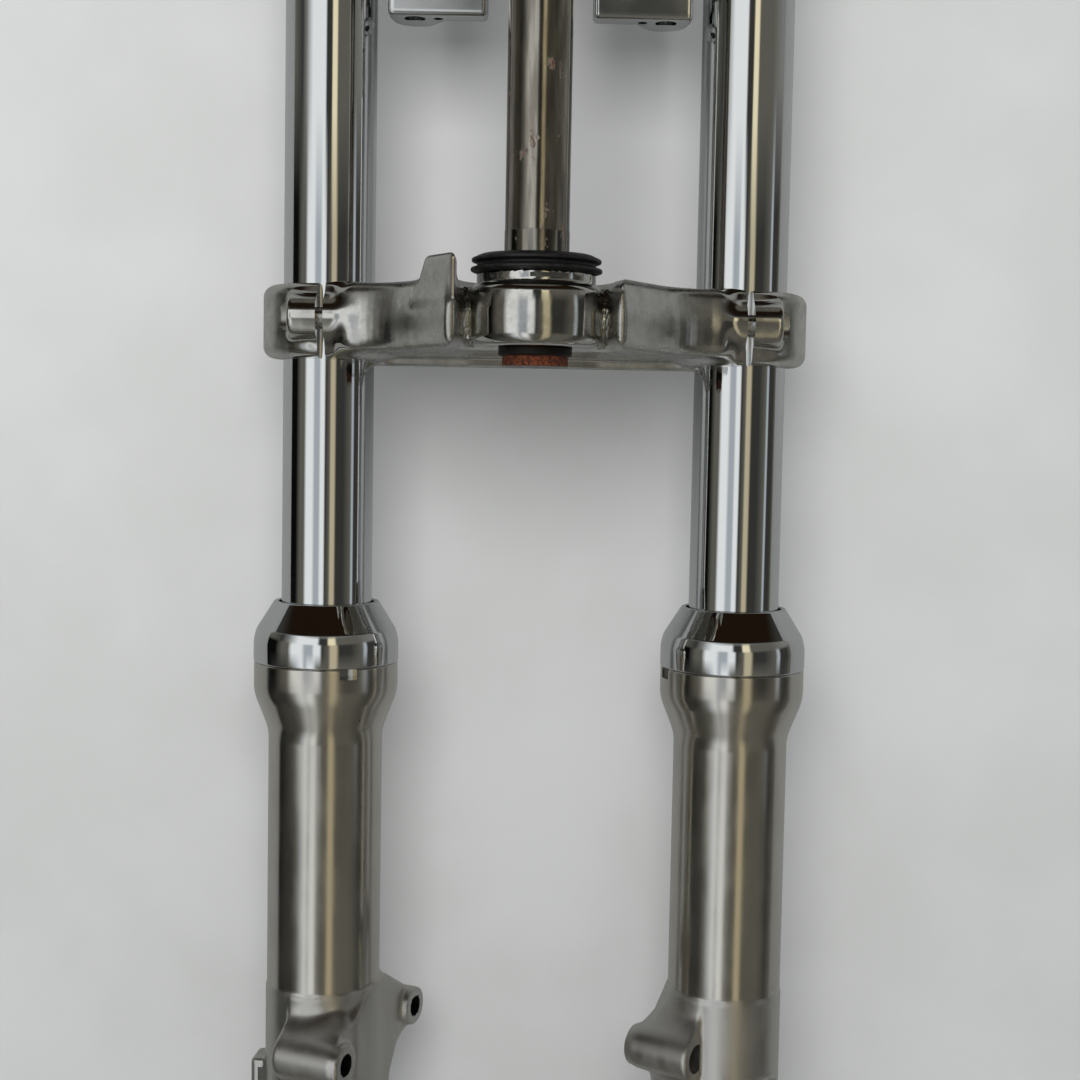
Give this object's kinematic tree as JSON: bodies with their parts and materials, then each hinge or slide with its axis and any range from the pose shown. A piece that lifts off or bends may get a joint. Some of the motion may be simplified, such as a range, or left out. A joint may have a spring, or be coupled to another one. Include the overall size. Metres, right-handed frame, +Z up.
{
  "type": "motorcycle suspension fork",
  "caption": "Telescopic front fork with chrome tubes, two clamps, a steering stem and cast lower legs that slide and swivel",
  "frame": {"origin": "steering stem axis at the top of the lower clamp's bearing seat", "axes": "+Z up the steering stem, +X to the picture's right, +Y to the front, away from the camera"},
  "size_m": [0.2438, 0.1401, 0.759],
  "materials": {
    "polished_alloy": "polished forging, softer on the arms",
    "clamp_alloy": "satin machined",
    "zinc_steel": "bright zinc plate",
    "ground_steel": "ground, with brown rust spots",
    "blackened_steel": "oil-blackened",
    "black_rubber": "moulded, semi-matte",
    "chrome": "hard chrome, mirror",
    "cast_alloy": "tumbled satin casting",
    "spring_steel": "oil-tempered wire",
    "plain_steel": "plain machined",
    "spacer_plastic": "extruded",
    "cap_alloy": "chromed cap",
    "bearing_bronze": "lined bronze strip",
    "ring_plastic": "filled slip-ring plastic",
    "copper": "soft copper"
  },
  "bodies": {
    "clamps_and_tubes": {"lower_clamp": "polished_alloy", "lower_pinch_bolts": "zinc_steel", "steering_stem": "ground_steel", "stem_foot_washer": "blackened_steel", "bearing_dust_seal": "black_rubber", "stem_washer": "zinc_steel", "stem_nut": "zinc_steel", "upper_clamp": "clamp_alloy", "upper_pinch_bolts": "zinc_steel", "bracket_left": "chrome", "bracket_right": "chrome", "bracket_screws": "zinc_steel", "fork_tube_left": "chrome", "tube_bush_left": "bearing_bronze", "tube_end_ring_left": "plain_steel", "rebound_spring_left": "spring_steel", "spring_washer_left": "plain_steel", "preload_spacer_left": "spacer_plastic", "fork_cap_left": "cap_alloy", "cap_ring_left": "black_rubber", "fork_tube_right": "chrome", "tube_bush_right": "bearing_bronze", "tube_end_ring_right": "plain_steel", "rebound_spring_right": "spring_steel", "spring_washer_right": "plain_steel", "preload_spacer_right": "spacer_plastic", "fork_cap_right": "cap_alloy", "cap_ring_right": "black_rubber"},
    "left_spring_pack": {"fork_spring_left": "spring_steel"},
    "left_leg": {"lower_leg_left": "cast_alloy", "leg_bush_left": "bearing_bronze", "seal_washer_left": "plain_steel", "oil_seal_left": "black_rubber", "retaining_ring_left": "blackened_steel", "dust_cover_left": "chrome", "dust_wiper_left": "black_rubber", "damper_rod_left": "ground_steel", "piston_ring_left": "ring_plastic", "oil_lock_piece_left": "cast_alloy", "damper_bolt_left": "zinc_steel", "damper_bolt_washer_left": "copper", "drain_screw_left": "zinc_steel", "drain_washer_left": "copper"},
    "right_spring_pack": {"fork_spring_right": "spring_steel"},
    "right_leg": {"lower_leg_right": "cast_alloy", "leg_bush_right": "bearing_bronze", "seal_washer_right": "plain_steel", "oil_seal_right": "black_rubber", "retaining_ring_right": "blackened_steel", "dust_cover_right": "chrome", "dust_wiper_right": "black_rubber", "damper_rod_right": "ground_steel", "piston_ring_right": "ring_plastic", "oil_lock_piece_right": "cast_alloy", "damper_bolt_right": "zinc_steel", "damper_bolt_washer_right": "copper", "drain_screw_right": "zinc_steel", "drain_washer_right": "copper", "axle_pinch_bolt": "zinc_steel"}
  },
  "joints": [
    {"name": "left_leg_swivel", "type": "hinge", "parent": "clamps_and_tubes", "child": "left_spring_pack", "pos_m": [-0.089, 0.062, -0.2], "axis": [0, 0, 1], "continuous": true},
    {"name": "left_leg_travel", "type": "slide", "parent": "left_spring_pack", "child": "left_leg", "axis": [0, 0, 1], "range_m": [0, 0.09], "stiffness_N_per_m": 7000, "springref_m": -0.018, "deforming": ["fork_spring_left"]},
    {"name": "right_leg_swivel", "type": "hinge", "parent": "clamps_and_tubes", "child": "right_spring_pack", "pos_m": [0.089, 0.062, -0.2], "axis": [0, 0, 1], "continuous": true},
    {"name": "right_leg_travel", "type": "slide", "parent": "right_spring_pack", "child": "right_leg", "axis": [0, 0, 1], "range_m": [0, 0.09], "stiffness_N_per_m": 7000, "springref_m": -0.018, "deforming": ["fork_spring_right"]}
  ]
}
